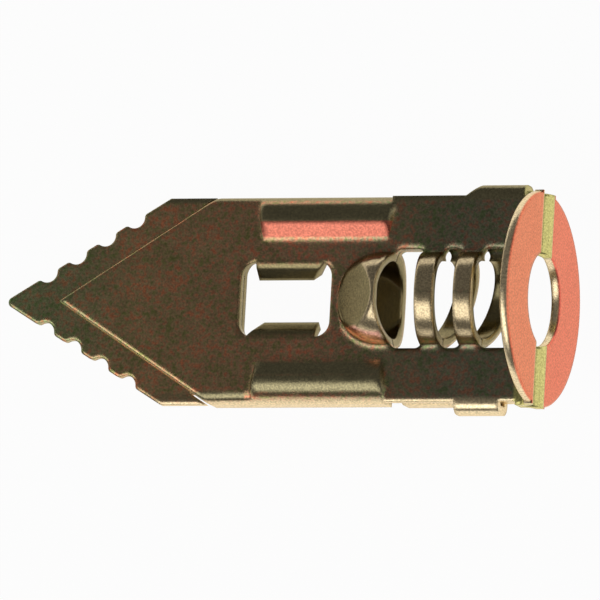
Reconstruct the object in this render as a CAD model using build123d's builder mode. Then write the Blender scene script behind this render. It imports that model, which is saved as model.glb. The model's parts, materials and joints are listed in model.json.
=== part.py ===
import math
import os

from build123d import *

# Hollow wall anchor that is tapped into plasterboard: two pressed sheet leaves lie back to back.
# Each leaf turns out at the head into half of a round flange, and a screw runs in between the leaves.
# Each leaf is formed in the anchor's own frame: X is the screw axis and points out of the wall,
# the flange's outer face is at X = 0, and Z is the leaf's outward normal with its mating face at Z = 0.

# Sheet
sheet = 0.5
cut_overrun = 1.0
leaf_clearance = 0.1

# Flange
flange_diameter = 11.9
screw_hole_diameter = 5.2
flange_bend_radius = 1.0
flange_rim_break = 0.1
head_flare_length = 0.2

# Body, over the front leaf's side walls
body_width = 11.54
neck_width = 11.5
wall_length = 10.3
wall_to_head = 9.0
wall_depth = 1.7
wall_bend_radius = 0.6

# Points of the two leaves
front_point_length = 9.1
front_point_round = 0.2
back_point_lead = 2.9
back_point_length = 9.55
back_point_round = 0.3
shoulder_radius = 4.5
tooth_count = 4
tooth_pitch = 1.94
first_notch_reach = 3.0
notch_radius = 0.6
notch_depth = 0.42
tooth_round = 0.25

# Stiffening ribs beside the window
rib_length = 8.3
rib_to_head = 8.6
rib_end_flare = 0.5
rib_height = 0.45
rib_foot_share = 0.21
rib_flank_share = 0.35
rib_shoulder_share = 0.5

# Screw channel with its thread strips
channel_radius = 2.15
mouth_to_head = 8.6
mouth_recede = 0.45
nose_to_mouth = 0.75
nose_ramp_length = 2.9
nose_ramp_round = 0.5
strip_pitch = 2.27
front_strip_to_head = 3.65
front_strip_width = 1.05
front_strip_slant = 0.1
front_strip_bow = 0.3
back_strip_to_head = 2.85
back_strip_width = 1.15
back_strip_slant = 1.65
back_strip_bow = 0.05
slot_overhang = 0.12
slot_round_share = 0.33

# Window with its two turned-in tabs
window_to_nose = 0.32
window_length = 5.33
window_height = 4.2
window_round = 0.85
tab_width = 4.05
tab_offset = 0.85
tab_slant = 1.2
tab_reach = 0.71
tab_bend_radius = 0.6
tab_bend_angle = 45

# Ears that hold the back leaf
ear_bend_radius = 0.6
ear_clearance = 0.15
ear_lip = 1.4
upper_ear_length = 3.4
upper_ear_to_head = 1.3
upper_ear_ramp = 0.85
lower_ear_length = 2.6
lower_ear_to_head = 2.2

# Side tabs of the back leaf
side_tab_length = 2.7
side_tab_to_head = 5.4
side_tab_depth = 1.5

# Places worked out from the sizes above
body_half = body_width / 2
neck_half = neck_width / 2
ear_half = neck_half + ear_clearance + sheet
flange_radius = flange_diameter / 2
flare_start = flange_bend_radius + head_flare_length
wall_flat = body_half - wall_bend_radius
body_length = wall_to_head + wall_length
front_length = body_length + front_point_length
back_shoulder = body_length + back_point_lead
overall_length = back_shoulder + back_point_length
back_seat_half = body_half - sheet - leaf_clearance
back_step_gap = 2 * leaf_clearance
back_seat_start = front_length - front_point_length * back_seat_half / body_half + back_step_gap
channel_outer = channel_radius + sheet
nose_centre = mouth_to_head + nose_to_mouth
nose_start = nose_centre + channel_outer
slot_half = channel_outer + slot_overhang
rib_foot = channel_outer + rib_foot_share * (body_half - channel_outer)
rib_flank = rib_flank_share * (body_half - rib_foot)
rib_shoulder = rib_shoulder_share * (body_half - rib_foot)
window_head_end = nose_start + window_to_nose
window_centre = window_head_end + window_length / 2

# The anchor lies on the flange's rim and the back leaf's point, so its axis climbs towards the head
rest_pitch = math.degrees(math.atan2(flange_radius - sheet, overall_length - sheet))


# Half of the flange with its bend, whose round side lies on the seam between the leaves
with BuildPart() as flange_form:
    with BuildSketch(Plane.YZ.offset(-sheet)):
        Circle(flange_radius)
        with Locations((0, flange_bend_radius)):
            Rectangle(
                flange_diameter, flange_diameter, align=(Align.CENTER, Align.MAX), mode=Mode.SUBTRACT
            )
    extrude(amount=sheet)
    chamfer(flange_form.edges().filter_by(GeomType.CIRCLE), flange_rim_break)
    with BuildSketch(Plane.XZ):
        with BuildLine():
            bend_centre = (-flange_bend_radius, flange_bend_radius)
            seam_turn = CenterArc(bend_centre, flange_bend_radius, 270, 90)
            wall_turn = CenterArc(bend_centre, flange_bend_radius - sheet, 270, 90)
            Line(seam_turn @ 0, wall_turn @ 0)
            Line(seam_turn @ 1, wall_turn @ 1)
        make_face()
    extrude(amount=flange_radius, both=True)
    # The screw's hole runs through flange and bend
    with BuildSketch(Plane.YZ.offset(-flange_bend_radius)):
        Circle(screw_hole_diameter / 2)
    extrude(amount=flange_bend_radius, mode=Mode.SUBTRACT)

# Half of the screw channel, solid: a straight barrel, and a round nose with a ramp on it
with BuildPart() as channel_form:
    with BuildSketch(Plane.XY):
        with BuildLine():
            nose = CenterArc((-nose_centre, 0), channel_outer, 90, 90)
            Polyline(nose @ 0, (-flange_bend_radius, channel_outer), (-flange_bend_radius, 0), nose @ 1)
        make_face()
    revolve(axis=Axis.X, revolution_arc=180)
    with BuildSketch(Plane.XZ):
        with BuildLine():
            Polyline(
                (-nose_start, sheet),
                (-nose_start + nose_ramp_length, channel_outer),
                (-nose_start + nose_ramp_length, channel_outer + cut_overrun),
                (-nose_start - cut_overrun, channel_outer + cut_overrun),
                (-nose_start - cut_overrun, sheet),
                close=True,
            )
        make_face()
    extrude(amount=channel_outer, both=True, mode=Mode.SUBTRACT)
    ramp_face = channel_form.faces().filter_by(GeomType.PLANE).sort_by(Axis.Z)[-1]
    fillet(ramp_face.edges(), nose_ramp_round)

# The hollow of the channel, one sheet thickness inside it
with BuildPart() as channel_hollow:
    with BuildSketch(Plane.XY):
        with BuildLine():
            bore_nose = CenterArc((-nose_centre, 0), channel_radius, 90, 90)
            Polyline(
                bore_nose @ 0, (-flange_bend_radius, channel_radius), (-flange_bend_radius, 0), bore_nose @ 1
            )
        make_face()
    revolve(axis=Axis.X, revolution_arc=180)
    nose_lean = math.atan2(channel_outer - sheet, nose_ramp_length)
    inner_start = -nose_start + sheet / math.sin(nose_lean) - sheet / math.tan(nose_lean)
    inner_end = inner_start + channel_outer / math.tan(nose_lean)
    with BuildSketch(Plane.XZ):
        with BuildLine():
            Polyline(
                (inner_start, 0),
                (inner_end, channel_outer),
                (-nose_start - cut_overrun, channel_outer),
                (-nose_start - cut_overrun, 0),
                close=True,
            )
        make_face()
    extrude(amount=channel_outer, both=True, mode=Mode.SUBTRACT)


def strip_slots(strip_to_head, strip_width, strip_slant, strip_bow):
    # Slots across the channel leave slanted strips, which follow the thread of the screw
    lean = strip_slant / 2
    head_strip = -strip_to_head
    nose_strip = head_strip - strip_pitch

    def strip_edge(place):
        return ThreePointArc((place - lean, slot_half), (place + strip_bow, 0), (place + lean, -slot_half))

    with BuildPart() as slots:
        with BuildSketch(Plane.XY) as slot_outline:
            # The mouth's edge draws back at the crown, where the sheet is stretched most
            with BuildLine():
                mouth = ThreePointArc(
                    (-mouth_to_head, slot_half),
                    (-mouth_to_head - mouth_recede, 0),
                    (-mouth_to_head, -slot_half),
                )
                nose_side = strip_edge(nose_strip - strip_width)
                Line(mouth @ 0, nose_side @ 0)
                Line(mouth @ 1, nose_side @ 1)
            make_face()
            with BuildLine():
                inner_side = strip_edge(nose_strip)
                outer_side = strip_edge(head_strip - strip_width)
                Line(inner_side @ 0, outer_side @ 0)
                Line(inner_side @ 1, outer_side @ 1)
            make_face()
            # The last slot opens on to the hole in the flange
            with BuildLine():
                head_side = strip_edge(head_strip)
                Polyline(head_side @ 0, (-sheet, slot_half), (-sheet, -slot_half), head_side @ 1)
            make_face()
            corners = slot_outline.vertices().filter_by_position(Axis.X, -nose_centre, -flange_bend_radius)
            fillet(corners, slot_round_share * (strip_pitch - strip_width))
        extrude(amount=channel_outer)
    return slots.part


front_slots = strip_slots(front_strip_to_head, front_strip_width, front_strip_slant, front_strip_bow)
back_slots = strip_slots(back_strip_to_head, back_strip_width, back_strip_slant, back_strip_bow)

# One stiffening rib, solid, which rounds off over the body's side and gets shorter towards the window
rib_start = rib_to_head + rib_length
with BuildPart() as rib_form:
    with BuildSketch(Plane.YZ.offset(-rib_start)):
        with BuildLine():
            crown = (body_half - rib_shoulder, sheet + rib_height - rib_shoulder)
            shoulder = CenterArc(crown, rib_shoulder, 0, 90)
            Polyline(
                shoulder @ 1,
                (rib_foot + rib_flank, sheet + rib_height),
                (rib_foot, sheet),
                (rib_foot, 0),
                (body_half - sheet, 0),
                (body_half - sheet, sheet + rib_height - rib_shoulder),
                shoulder @ 0,
            )
        make_face()
    extrude(amount=rib_length)
    with BuildSketch(Plane.XY.offset(-wall_depth)):
        with BuildLine():
            Polyline(
                (-rib_start, body_half),
                (-rib_start + rib_end_flare, rib_foot),
                (-rib_start + rib_end_flare, 0),
                (-rib_start - cut_overrun, 0),
                (-rib_start - cut_overrun, body_half),
                close=True,
            )
        make_face()
        with BuildLine():
            Polyline(
                (-rib_to_head, body_half),
                (-rib_to_head - rib_end_flare, rib_foot),
                (-rib_to_head - rib_end_flare, 0),
                (-rib_to_head + cut_overrun, 0),
                (-rib_to_head + cut_overrun, body_half),
                close=True,
            )
        make_face()
    extrude(amount=wall_depth + sheet + rib_height + cut_overrun, mode=Mode.SUBTRACT)
    top_edges = rib_form.edges().group_by(Axis.Z)[-1]
    chamfer(top_edges.filter_by(Axis.X, reverse=True), rib_height / 2)

# The hollow behind one rib, which leaves one sheet thickness all round
with BuildPart() as rib_hollow:
    flank_lean = math.atan2(rib_height, rib_flank)
    flank_shift = sheet * math.tan(flank_lean / 2)
    with BuildSketch(Plane.YZ.offset(-rib_start + rib_end_flare + sheet)):
        with BuildLine():
            hollow_crown = (body_half - rib_shoulder, sheet + rib_height - rib_shoulder)
            hollow_shoulder = CenterArc(hollow_crown, rib_shoulder - sheet, 0, 90)
            Polyline(
                hollow_shoulder @ 1,
                (rib_foot + rib_flank + flank_shift, rib_height),
                (rib_foot + flank_shift, 0),
                (rib_foot + flank_shift, sheet - wall_depth),
                (body_half - sheet, sheet - wall_depth),
                hollow_shoulder @ 0,
            )
        make_face()
    extrude(amount=rib_length - 2 * rib_end_flare - 2 * sheet)

# One window tab, turned back from the window's edge, with one square and one slanted end
with BuildPart() as window_tab:
    tab_half = window_height / 2
    with BuildSketch(Plane.YZ.offset(tab_offset - window_length / 2)):
        with BuildLine():
            turn_centre = (tab_half, sheet - tab_bend_radius)
            face_turn = CenterArc(turn_centre, tab_bend_radius, 90, tab_bend_angle)
            back_turn = CenterArc(turn_centre, tab_bend_radius - sheet, 90, tab_bend_angle)
            face_run = Line(face_turn @ 1, face_turn @ 1 + (face_turn % 1) * tab_reach)
            back_run = Line(back_turn @ 1, back_turn @ 1 + (back_turn % 1) * tab_reach)
            Line(face_run @ 1, back_run @ 1)
            Line(face_turn @ 0, back_turn @ 0)
        make_face()
    extrude(amount=tab_width)
    slant_root = tab_offset + tab_width - window_length / 2
    with BuildSketch(Plane.XY.offset(-tab_reach - cut_overrun)):
        with BuildLine():
            Polyline(
                (slant_root, tab_half),
                (slant_root - tab_slant, tab_half - tab_bend_radius - tab_reach),
                (slant_root + cut_overrun, tab_half - tab_bend_radius - tab_reach),
                close=True,
            )
        make_face()
    extrude(amount=tab_reach + sheet + 2 * cut_overrun, mode=Mode.SUBTRACT)

# Front leaf
with BuildPart() as front_form:
    # Flat sheet from the point to the flange's bend
    with BuildSketch(Plane.XY):
        with BuildLine():
            edge = Polyline(
                (-front_length, 0),
                (-body_length - front_point_length * wall_bend_radius / body_half, wall_flat),
                (-wall_to_head, wall_flat),
                (-wall_to_head, neck_half),
                (-flare_start, neck_half),
                (-flare_start, flange_radius),
                (-flange_bend_radius, flange_radius),
                (-flange_bend_radius, 0),
            )
            mirror(edge, about=Plane.XZ)
        make_face()
    extrude(amount=sheet)
    # Side walls bent back over the edges of the back leaf
    with BuildSketch(Plane.YZ.offset(-body_length - wall_depth)):
        with BuildLine():
            wall_centre = (wall_flat, sheet - wall_bend_radius)
            wall_face = CenterArc(wall_centre, wall_bend_radius, 0, 90)
            wall_back = CenterArc(wall_centre, wall_bend_radius - sheet, 0, 90)
            Line(wall_face @ 1, wall_back @ 1)
            Polyline(
                wall_face @ 0,
                (body_half, sheet - wall_depth),
                (body_half - sheet, sheet - wall_depth),
                wall_back @ 0,
            )
        make_face()
        mirror(about=Plane.YZ)
    extrude(amount=wall_length + wall_depth)
    # The walls end on the slope of the point
    with BuildSketch(Plane.XY.offset(-wall_depth)):
        with BuildLine():
            slope = Polyline(
                (-front_length, 0),
                (-body_length, body_half),
                (-body_length, body_half + cut_overrun),
                (-front_length - cut_overrun, body_half + cut_overrun),
                (-front_length - cut_overrun, 0),
                close=True,
            )
        make_face()
        mirror(about=Plane.XZ)
    extrude(amount=wall_depth + sheet + cut_overrun, mode=Mode.SUBTRACT)
    # The punch leaves a rounded edge along the point
    face_edges = front_form.edges().group_by(Axis.Z)[-1]
    fillet(face_edges.filter_by_position(Axis.X, -front_length, -body_length), front_point_round)
    # Ribs, screw channel and window
    add(rib_form.part)
    mirror(rib_form.part, about=Plane.XZ)
    add(channel_form.part)
    add(rib_hollow.part, mode=Mode.SUBTRACT)
    mirror(rib_hollow.part, about=Plane.XZ, mode=Mode.SUBTRACT)
    add(channel_hollow.part, mode=Mode.SUBTRACT)
    add(front_slots, mode=Mode.SUBTRACT)
    with BuildSketch(Plane.XY):
        with Locations((-window_centre, 0)):
            RectangleRounded(window_length, window_height, window_round)
    extrude(amount=channel_outer, mode=Mode.SUBTRACT)
    add(flange_form.part)
    with Locations(Location((-window_centre, 0, 0)), Location((-window_centre, 0, 0), (0, 0, 180))):
        add(window_tab.part)
    # Ears folded round the edges of the back leaf and in behind it
    for side, length, to_head in (
        (1, upper_ear_length, upper_ear_to_head),
        (-1, lower_ear_length, lower_ear_to_head),
    ):
        with BuildSketch(Plane.YZ.offset(-to_head - length)):
            with Locations((side * (ear_half - ear_lip / 2), sheet)):
                RectangleRounded(
                    ear_lip, 3 * sheet + leaf_clearance, ear_bend_radius, align=(Align.CENTER, Align.MAX)
                )
            with Locations((side * (ear_half - sheet - ear_lip / 2), 0)):
                Rectangle(
                    ear_lip, sheet + leaf_clearance, align=(Align.CENTER, Align.MAX), mode=Mode.SUBTRACT
                )
        extrude(amount=length)
    # The upper ear starts with a ramp
    ramp_start = -upper_ear_to_head - upper_ear_length
    with BuildSketch(Plane.XY.offset(-2 * sheet - leaf_clearance)):
        with BuildLine():
            Polyline(
                (ramp_start, neck_half),
                (ramp_start + upper_ear_ramp, ear_half),
                (ramp_start + upper_ear_ramp, ear_half + cut_overrun),
                (ramp_start, ear_half + cut_overrun),
                close=True,
            )
        make_face()
    extrude(amount=3 * sheet + leaf_clearance, mode=Mode.SUBTRACT)

# Back leaf
with BuildPart() as back_form:
    point_lean = math.atan2(body_half, back_point_length)
    with BuildSketch(Plane.XY) as back_outline:
        with BuildLine():
            back_edge = Polyline(
                (-overall_length, 0),
                (-back_shoulder, body_half),
                (-body_length - back_step_gap, body_half),
                (-back_seat_start, back_seat_half),
                (-side_tab_to_head, back_seat_half),
                (-side_tab_to_head, neck_half),
                (-flare_start, neck_half),
                (-flare_start, flange_radius),
                (-flange_bend_radius, flange_radius),
                (-flange_bend_radius, 0),
            )
            mirror(back_edge, about=Plane.XZ)
        make_face()
        tip = back_outline.vertices().sort_by(Axis.X)[0]
        shoulders = back_outline.vertices().sort_by(Axis.X)[1:3]
        fillet(tip, back_point_round)
        fillet(shoulders, shoulder_radius)
        # Scalloped teeth along both sides of the point
        for side in (1, -1):
            for notch in range(tooth_count):
                reach = first_notch_reach + notch * tooth_pitch
                outside = notch_radius - notch_depth
                along = -overall_length + reach * math.cos(point_lean) - outside * math.sin(point_lean)
                across = reach * math.sin(point_lean) + outside * math.cos(point_lean)
                with Locations((along, side * across)):
                    Circle(notch_radius, mode=Mode.SUBTRACT)
        corners = back_outline.vertices().filter_by_position(
            Axis.X, -overall_length + first_notch_reach / 2, -back_shoulder - notch_radius
        )
        fillet(corners, tooth_round)
    extrude(amount=sheet)
    # Side tabs turned away from the front leaf
    with BuildSketch(Plane.YZ.offset(-side_tab_to_head - side_tab_length)):
        with BuildLine():
            side_centre = (back_seat_half, wall_bend_radius)
            side_face = CenterArc(side_centre, wall_bend_radius, 270, 90)
            side_back = CenterArc(side_centre, wall_bend_radius - sheet, 270, 90)
            Line(side_face @ 0, side_back @ 0)
            Polyline(
                side_face @ 1,
                (back_seat_half + wall_bend_radius, side_tab_depth),
                (back_seat_half + wall_bend_radius - sheet, side_tab_depth),
                side_back @ 1,
            )
        make_face()
        mirror(about=Plane.YZ)
    extrude(amount=side_tab_length)
    # Screw channel, window and flange
    add(channel_form.part)
    add(channel_hollow.part, mode=Mode.SUBTRACT)
    add(back_slots, mode=Mode.SUBTRACT)
    with BuildSketch(Plane.XY):
        with Locations((-window_centre, 0)):
            RectangleRounded(window_length, window_height + 4 * leaf_clearance, window_round)
    extrude(amount=channel_outer, mode=Mode.SUBTRACT)
    add(flange_form.part)

# Both leaves lie as the anchor comes to rest
with BuildPart() as front_leaf:
    add(front_form.part, rotation=(0, -rest_pitch, 0))
with BuildPart() as back_leaf:
    add(back_form.part, rotation=(180, rest_pitch, 0))

os.makedirs("parts", exist_ok=True)
front_leaf.part.label = "front_leaf"
export_step(front_leaf.part, "parts/front_leaf.step")
back_leaf.part.label = "back_leaf"
export_step(back_leaf.part, "parts/back_leaf.step")
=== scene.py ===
import json
import math
import bpy
import numpy as np
from mathutils import Matrix, Vector


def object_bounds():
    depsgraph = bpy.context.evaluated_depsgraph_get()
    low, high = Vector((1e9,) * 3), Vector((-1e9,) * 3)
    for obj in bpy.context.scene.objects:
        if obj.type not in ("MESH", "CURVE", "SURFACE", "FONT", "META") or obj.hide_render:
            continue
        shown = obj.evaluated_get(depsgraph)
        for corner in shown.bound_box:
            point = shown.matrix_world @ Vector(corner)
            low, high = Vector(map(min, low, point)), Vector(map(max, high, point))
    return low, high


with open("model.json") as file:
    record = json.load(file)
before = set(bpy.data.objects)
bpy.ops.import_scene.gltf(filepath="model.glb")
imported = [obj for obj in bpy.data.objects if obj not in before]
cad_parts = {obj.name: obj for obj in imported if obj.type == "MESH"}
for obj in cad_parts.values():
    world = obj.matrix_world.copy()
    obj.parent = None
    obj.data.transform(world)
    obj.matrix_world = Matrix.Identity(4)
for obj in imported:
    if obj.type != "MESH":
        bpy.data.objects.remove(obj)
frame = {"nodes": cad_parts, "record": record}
cadBox = [list(corner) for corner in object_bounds()]
scene = bpy.context.scene
scene.view_settings.view_transform = "Standard"
mm = 0.001
print("frame loaded:", sorted(frame["nodes"]))

axisOut = Vector(frame["record"]["mounts"][0]["axis"]).normalized()  # screw axis, out of the wall
acrossAxis = Vector((0, 1, 0))
leafOut = axisOut.cross(acrossAxis).normalized()  # front leaf's outward normal

# sockets of a Mix node by number, because its plain and colour sockets share their names
factor, plainA, plainB, plainOut = 0, 2, 3, 0
colourA, colourB, colourOut = 6, 7, 2


def linear(hexColour):
    # sRGB hex to linear light: the usual curve on each channel
    channels = [int(hexColour[i:i + 2], 16) / 255 for i in (1, 3, 5)]
    return tuple(c / 12.92 if c <= 0.04045 else ((c + 0.055) / 1.055) ** 2.4 for c in channels)


def addNode(tree, kind, settings=None, values=None, links=None):
    # one node: its settings, its fixed input values, and its inputs that other sockets feed
    node = tree.nodes.new(kind)
    for name, value in (settings or {}).items():
        setattr(node, name, value)
    for name, value in (values or {}).items():
        node.inputs[name].default_value = value
    for name, socket in (links or {}).items():
        tree.links.new(socket, node.inputs[name])
    return node


def fillRamp(node, stops):
    # colour ramp from (position, hex) pairs
    ramp = node.color_ramp
    while len(ramp.elements) < len(stops):
        ramp.elements.new(0.5)
    for element, (position, hexColour) in zip(ramp.elements, stops):
        element.position = position
        element.color = (*linear(hexColour), 1)


# camera at the photograph's angle, given along the screw axis, across the leaf and out of the leaf
photoView = {
    "right": (0.9379, 0.0555, -0.3424),
    "up": (0.0053, 0.9847, 0.1743),
    "distanceMm": 1500,
    "pixelsPerMm": 18.214,
    "headPixel": (544.11, 299.36),  # centre of the flange's outer face
    "imagePixels": 600,
    "sensorMm": 36,
    "clipMm": (10, 20000),
}


def alongPart(parts):
    # own axes of the part to the shared frame
    return axisOut * parts[0] + acrossAxis * parts[1] + leafOut * parts[2]


def makeCamera(v):
    # stands back from the flange's centre by the distance, moved sideways until that centre is on its pixel
    right = alongPart(v["right"]).normalized()
    back = right.cross(alongPart(v["up"])).normalized()
    up = back.cross(right)
    half = v["imagePixels"] / 2
    offRight = (half - v["headPixel"][0]) / v["pixelsPerMm"]
    offUp = (v["headPixel"][1] - half) / v["pixelsPerMm"]
    spot = (right * offRight + up * offUp + back * v["distanceMm"]) * mm
    data = bpy.data.cameras.new("photoCamera")
    data.sensor_width = v["sensorMm"]
    data.lens = v["sensorMm"] * v["distanceMm"] * v["pixelsPerMm"] / v["imagePixels"]
    data.clip_start, data.clip_end = (end * mm for end in v["clipMm"])
    camera = bpy.data.objects.new("photoCamera", data)
    turn = Matrix((right, up, back)).transposed().to_4x4()
    camera.matrix_world = Matrix.Translation(spot) @ turn
    scene.collection.objects.link(camera)
    scene.camera = camera


makeCamera(photoView)
print("camera set")

# yellow-passivated zinc plating on pressed sheet steel, with painted highlight and painted shade in places;
# places are in
# mm: along the screw axis from the flange's face, across from the axis, out from the seam between the
# leaves, and round the axis
far = 100  # past every edge of the part
platingAndPaintedLight = {
    "sheet": [  # the flat sheet's colour from the tip to the head: the film's hue, and darker towards the head
        (-32, "#bfc898"), (-28, "#cbc297"), (-24, "#e2c094"),
        (-14, "#e1b592"), (-9, "#beac8c"), (-5, "#aca58c"),
    ],
    "mottle": [(0.36, "#b3d2a8"), (0.5, "#dcdcd6"), (0.64, "#ffc0b2")],
    "noises": {
        "clouds": {"sizeMm": 1.7, "detail": 3, "roughness": 0.6},
        "blotches": {"sizeMm": 0.28, "detail": 2, "roughness": 0.6},
        "grain": {"sizeMm": 0.11, "detail": 1, "roughness": 0.5},  # zinc crystals, coarse enough to show
    },
    "noiseSpan": (0.3, 0.7),  # where most of a noise's values are
    "blotchShare": 0.7,
    "grainTone": (0.72, 1.14),
    "roughness": (0.17, 0.27),
    "grazing": "#fcf1dc",  # tint where the metal is seen edge-on
    "bumpMm": 0.005,
    "bumpStrength": 0.35,
    "edgeSamples": 8,
    "edgeRoundMm": 0.3,  # press-rounded edges, in the shading only
    "drawnRoundMm": 0.55,  # softer draw radius at the foot of the channel and on the ribs
    "drawnSoftMm": 0.1,
    "drawnPlaces": [
        {"along": (-12.6, -0.9), "offMiddle": (1.5, 3.4), "out": (0.3, 1.7)},
        {"along": (-18.4, -7.5), "offMiddle": (2.8, 5.3), "out": (0.3, 1.4)},
    ],
    "filmAndLightPatches": [
        {"colour": "#f6dfb4", "softMm": 0.2, "places": [  # cream, on the lower side and the flange's rim: the film's cream hue, and on the lower side a painted highlight
            {"across": (-far, -5.6)},
            {"along": (-0.7, far), "offSeam": (0.9, far)},
        ]},
        {"colour": "#cdb993", "softMm": 0.2, "places": [  # duller cream, where the channel is drawn out
            {"along": (-12.6, -0.8), "offSeam": (1.15, far), "offMiddle": (0, 3)},
        ]},
        {"colour": "#928968", "softMm": 0.1, "places": [  # olive, on the ribs, upper side and lower bend: the film's olive hue, made darker as painted shade
            {"along": (-17.6, -8.1), "offMiddle": (4.3, 5.6), "out": (0.7, far)},
            {"along": (-17.4, -8.2), "across": (-4.3, -3.15), "out": (0.6, far)},
            {"along": (-far, -0.9), "across": (5.5, far)},
            {"along": (-24, -17.1), "across": (-5.6, -5.15), "out": (0, far)},
        ]},
        {"colour": "#857a58", "softMm": 0.05, "places": [  # dark olive, in the channel and on the tabs: painted shade in these hollows, over the film's olive hue
            {"along": (-9.1, -1.2), "round": (0, 2.52)},
            {"along": (-12.6, -9.1), "round": (0, 2.52), "offSeam": (0.63, far)},
            {"along": (-17.8, -12.6), "offMiddle": (0, 2.2), "out": (-2, 0.5)},
        ]},
        {"colour": "#d9d083", "softMm": 0.1, "places": [  # yellow green, on the bends at the flange's seam: the film's hue, made lighter as a painted highlight
            {"along": (-1.3, far), "offSeam": (0, 0.85)},
        ]},
        {"colour": "#c1705c", "softMm": 0.04, "places": [  # pink, on the upper rib's inner side
            {"along": (-17.4, -8.2), "across": (3.15, 4.3), "out": (0.58, far)},
        ]},
        {"colour": "#f6b8a2", "softMm": 0.12, "places": [  # rose, at the nose's lower foot: the film's pink hue, made lighter as a painted highlight
            {"along": (-12.4, -8.9), "across": (-2.8, -1.7), "out": (0.66, 1.7)},
        ]},
        {"colour": "#e98160", "softMm": 0.05, "places": [  # orange pink, front half of the flange
            {"along": (-0.08, far), "out": (0.9, far)},
        ]},
        {"colour": "#ee7862", "softMm": 0.05, "places": [  # pink, back half of the flange
            {"along": (-0.08, far), "out": (-far, -0.9)},
        ]},
    ],
}


def inBand(tree, place, limits, soft):
    # 1 between the two limits, 0 outside, with soft ends
    low, high = limits
    smooth = {"interpolation_type": "SMOOTHSTEP"}
    rise = addNode(tree, "ShaderNodeMapRange", smooth,
                   {"From Min": low - soft, "From Max": low + soft}, {"Value": place})
    fall = addNode(tree, "ShaderNodeMapRange", smooth,
                   {"From Min": high - soft, "From Max": high + soft, "To Min": 1, "To Max": 0},
                   {"Value": place})
    return addNode(tree, "ShaderNodeMath", {"operation": "MULTIPLY"}, None,
                   {0: rise.outputs[0], 1: fall.outputs[0]}).outputs[0]


def inPlace(tree, spots, limits, soft):
    # 1 where every named length is between its limits
    cover = None
    for name, ends in limits.items():
        side = inBand(tree, spots[name], ends, soft)
        cover = side if cover is None else addNode(
            tree, "ShaderNodeMath", {"operation": "MULTIPLY"}, None, {0: cover, 1: side}).outputs[0]
    return cover


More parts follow.
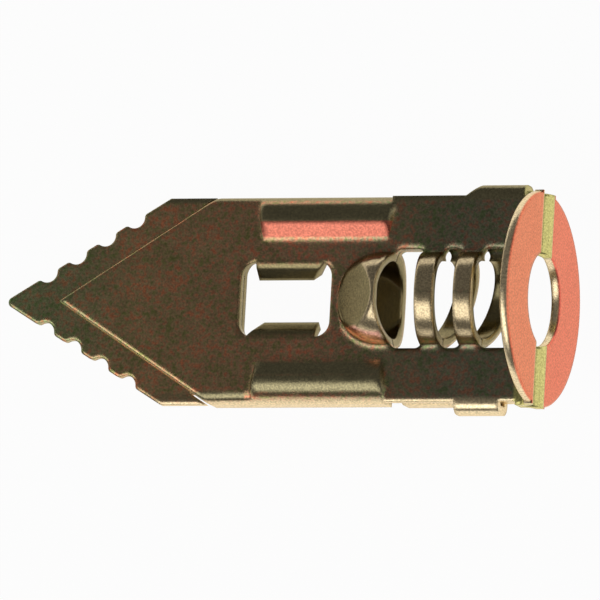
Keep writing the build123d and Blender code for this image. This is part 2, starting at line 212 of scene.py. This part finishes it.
def passivatedZinc(p):
    # bright zinc under a thin chromate film: metal gloss, with pink, cream and green clouds, and colours in
    # places, some of them painted highlight and painted shade
    material = bpy.data.materials.new("yellowPassivatedZincSteel")
    material.use_nodes = True
    tree = material.node_tree
    tree.nodes.clear()
    place = addNode(tree, "ShaderNodeTexCoord").outputs["Object"]
    spots = {}
    for name, axis in (("along", axisOut), ("across", acrossAxis), ("out", leafOut)):
        spots[name] = addNode(tree, "ShaderNodeVectorMath", {"operation": "DOT_PRODUCT"},
                              {1: tuple(axis / mm)}, {0: place}).outputs["Value"]
    for name, source in (("offMiddle", "across"), ("offSeam", "out")):
        spots[name] = addNode(tree, "ShaderNodeMath", {"operation": "ABSOLUTE"}, None,
                              {0: spots[source]}).outputs[0]
    crossways = addNode(tree, "ShaderNodeCombineXYZ", None, None, {0: spots["across"], 1: spots["out"]})
    spots["round"] = addNode(tree, "ShaderNodeVectorMath", {"operation": "LENGTH"}, None,
                             {0: crossways.outputs[0]}).outputs["Value"]
    noise = {}
    for name, n in p["noises"].items():
        noise[name] = addNode(
            tree, "ShaderNodeTexNoise", None,
            {"Scale": 1 / (n["sizeMm"] * mm), "Detail": n["detail"], "Roughness": n["roughness"]},
            {"Vector": place}).outputs["Fac"]
    noiseLow, noiseHigh = p["noiseSpan"]

    # colour along the sheet, darker towards the head
    first, last = p["sheet"][0][0], p["sheet"][-1][0]
    reach = addNode(tree, "ShaderNodeMapRange", None, {"From Min": first, "From Max": last},
                    {"Value": spots["along"]})
    sheet = addNode(tree, "ShaderNodeValToRGB", None, None, {"Fac": reach.outputs["Result"]})
    fillRamp(sheet, [((x - first) / (last - first), hexColour) for x, hexColour in p["sheet"]])

    # green and pink mottling on the flat sheet, from clouds and blotches together
    thickness = addNode(tree, "ShaderNodeMix", None, {factor: p["blotchShare"]},
                        {plainA: noise["clouds"], plainB: noise["blotches"]})
    mottle = addNode(tree, "ShaderNodeValToRGB", None, None, {"Fac": thickness.outputs[plainOut]})
    fillRamp(mottle, p["mottle"])
    multiply = {"data_type": "RGBA", "blend_type": "MULTIPLY"}
    tint = addNode(tree, "ShaderNodeMix", multiply, {factor: 1},
                   {colourA: sheet.outputs["Color"], colourB: mottle.outputs["Color"]}).outputs[colourOut]

    # film of another colour in the places named, as light or dark as the photograph shows them
    # some of these colours are painted highlight and painted shade, as marked where they are listed
    for patch in p["filmAndLightPatches"]:
        for limits in patch["places"]:
            cover = inPlace(tree, spots, limits, patch["softMm"])
            tint = addNode(tree, "ShaderNodeMix", {"data_type": "RGBA"},
                           {colourB: (*linear(patch["colour"]), 1)},
                           {factor: cover, colourA: tint}).outputs[colourOut]

    # fine grain in the tone, and gloss that changes with the clouds
    grainLow, grainHigh = p["grainTone"]
    grainTone = addNode(
        tree, "ShaderNodeMapRange", None,
        {"From Min": noiseLow, "From Max": noiseHigh, "To Min": grainLow, "To Max": grainHigh},
        {"Value": noise["grain"]})
    toned = addNode(tree, "ShaderNodeMix", multiply, {factor: 1},
                    {colourA: tint, colourB: grainTone.outputs["Result"]})
    smoothest, roughest = p["roughness"]
    gloss = addNode(
        tree, "ShaderNodeMapRange", None,
        {"From Min": noiseLow, "From Max": noiseHigh, "To Min": smoothest, "To Max": roughest},
        {"Value": noise["clouds"]})

    # rounded edges, softer where the sheet is drawn, with the grain's bump on them
    foot, ribs = (inPlace(tree, spots, limits, p["drawnSoftMm"]) for limits in p["drawnPlaces"])
    drawn = addNode(tree, "ShaderNodeMath", {"operation": "MAXIMUM"}, None, {0: foot, 1: ribs})
    rounding = addNode(tree, "ShaderNodeMapRange", None,
                       {"To Min": p["edgeRoundMm"] * mm, "To Max": p["drawnRoundMm"] * mm},
                       {"Value": drawn.outputs[0]})
    edges = addNode(tree, "ShaderNodeBevel", {"samples": p["edgeSamples"]}, None,
                    {"Radius": rounding.outputs["Result"]})
    bump = addNode(tree, "ShaderNodeBump", None,
                   {"Strength": p["bumpStrength"], "Distance": p["bumpMm"] * mm},
                   {"Height": noise["grain"], "Normal": edges.outputs["Normal"]})
    shader = addNode(tree, "ShaderNodeBsdfPrincipled", None,
                     {"Metallic": 1, "Specular Tint": (*linear(p["grazing"]), 1)},
                     {"Base Color": toned.outputs[colourOut], "Roughness": gloss.outputs["Result"],
                      "Normal": bump.outputs["Normal"]})
    addNode(tree, "ShaderNodeOutputMaterial", None, None, {"Surface": shader.outputs["BSDF"]})
    return material


zincSteel = passivatedZinc(platingAndPaintedLight)
for name, leaf in frame["nodes"].items():
    leaf.data.materials.clear()
    leaf.data.materials.append(zincSteel)
    print("plated", name)

# pale table in a dim room, and two softboxes
studio = {
    "tableSizeMm": 3000,
    "tablePoints": 9,  # along each side
    "tableGapMm": 0.01,  # clear of the part
    "tableColour": "#f4f3f0",
    "whiteShare": 0.96,  # how much of the table's white is plain background; the rest takes the shadow
    "room": 0.145,
    "aimMm": -15,  # the point on the screw axis that the lamps face
    "lamps": {
        "sideSoftbox": {"sizeMm": (520, 225), "radiance": 1.75, "from": (-0.465, -0.54, 0.7), "awayMm": 420},
        "headSoftbox": {"sizeMm": (420, 300), "radiance": 0.8, "from": (0.93, 0, 0.36), "awayMm": 420},
    },
}


def whiteTable(s):
    # matte white paint: mostly plain white to the camera and to mirrored and clear rays, paint to the rest
    material = bpy.data.materials.new("matteWhiteTable")
    material.use_nodes = True
    tree = material.node_tree
    tree.nodes.clear()
    paint = addNode(tree, "ShaderNodeBsdfDiffuse", None, {"Color": (*linear(s["tableColour"]), 1)})
    white = addNode(tree, "ShaderNodeEmission", None, {"Color": (1, 1, 1, 1), "Strength": 1})
    path = addNode(tree, "ShaderNodeLightPath")
    seen = path.outputs["Is Camera Ray"]
    for ray in ("Is Glossy Ray", "Is Transmission Ray"):
        seen = addNode(tree, "ShaderNodeMath", {"operation": "MAXIMUM"}, None,
                       {0: seen, 1: path.outputs[ray]}).outputs[0]
    share = addNode(tree, "ShaderNodeMath", {"operation": "MULTIPLY"}, {1: s["whiteShare"]}, {0: seen})
    mix = addNode(tree, "ShaderNodeMixShader", None, None,
                  {0: share.outputs[0], 1: paint.outputs[0], 2: white.outputs[0]})
    addNode(tree, "ShaderNodeOutputMaterial", None, None, {"Surface": mix.outputs[0]})
    return material


def makeTable(s):
    # level square: points evenly spaced along x and y, all at one height just under the part
    half = s["tableSizeMm"] * mm / 2
    count = s["tablePoints"]
    low = cadBox[0][2] - s["tableGapMm"] * mm
    steps = np.linspace(-half, half, count)
    x, y = np.meshgrid(steps, steps, indexing="ij")
    points = np.stack([x, y, np.full_like(x, low)], axis=-1).reshape(-1, 3)
    index = np.arange(count * count).reshape(count, count)
    corners = [index[:-1, :-1], index[1:, :-1], index[1:, 1:], index[:-1, 1:]]
    faces = np.stack(corners, axis=-1).reshape(-1, 4)
    mesh = bpy.data.meshes.new("table")
    mesh.from_pydata(points.tolist(), [], faces.tolist())
    mesh.materials.append(whiteTable(s))
    table = bpy.data.objects.new("table", mesh)
    scene.collection.objects.link(table)


def makeLight(s):
    # even dim light from all round, and lamps that stand off from one point of the part and face it
    world = bpy.data.worlds.new("softRoom")
    scene.world = world
    world.use_nodes = True
    tree = world.node_tree
    tree.nodes.clear()
    room = addNode(tree, "ShaderNodeBackground", None, {"Color": (1, 1, 1, 1), "Strength": s["room"]})
    addNode(tree, "ShaderNodeOutputWorld", None, None, {"Surface": room.outputs[0]})
    aim = axisOut * s["aimMm"] * mm
    for name, box in s["lamps"].items():
        wide, tall = (side * mm for side in box["sizeMm"])
        data = bpy.data.lights.new(name, "AREA")
        data.shape = "RECTANGLE"
        data.size = wide
        data.size_y = tall
        data.energy = box["radiance"] * math.pi * wide * tall  # power of a matte panel of that radiance
        lamp = bpy.data.objects.new(name, data)
        away = Vector(box["from"]).normalized()
        lamp.location = aim + away * box["awayMm"] * mm
        lamp.rotation_euler = away.to_track_quat("Z", "Y").to_euler()
        scene.collection.objects.link(lamp)


makeTable(studio)
makeLight(studio)
print("table and light set")
